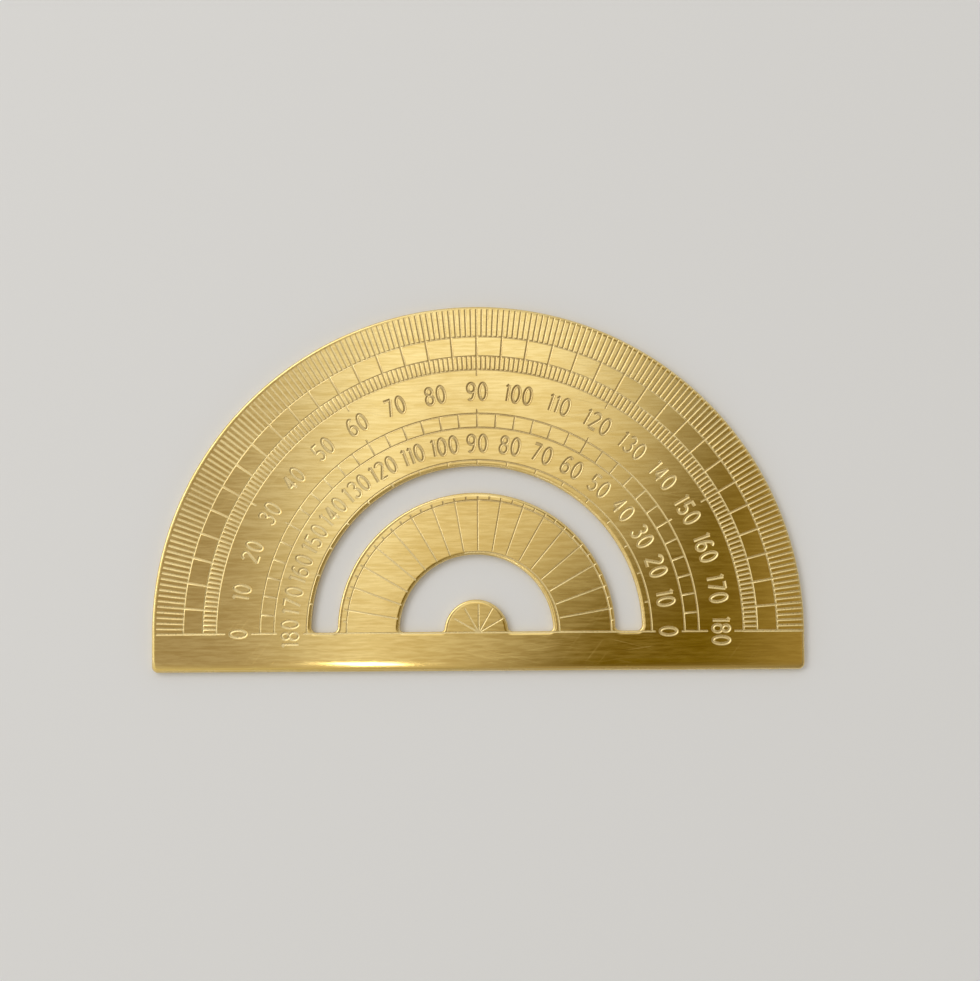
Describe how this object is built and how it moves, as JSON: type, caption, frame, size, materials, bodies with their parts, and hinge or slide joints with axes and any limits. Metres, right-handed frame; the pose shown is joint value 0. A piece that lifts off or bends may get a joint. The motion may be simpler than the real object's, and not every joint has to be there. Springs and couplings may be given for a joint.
{
  "type": "protractor",
  "caption": "Flat half-round brass protractor with two opposed engraved degree scales, a curved slot and a half-round centre window.",
  "frame": {"origin": "centre of the outline's arcs, on the flat back face", "axes": "+X along the base to the 180 end of the outer scale, +Y to the top of the arc, +Z out of the engraved face"},
  "size_m": [0.1, 0.056, 0.0012],
  "materials": {
    "brass": "hairline-brushed brass, semi-gloss, lightly aged"
  },
  "bodies": {
    "root": {"protractor_plate": "brass"}
  },
  "joints": []
}
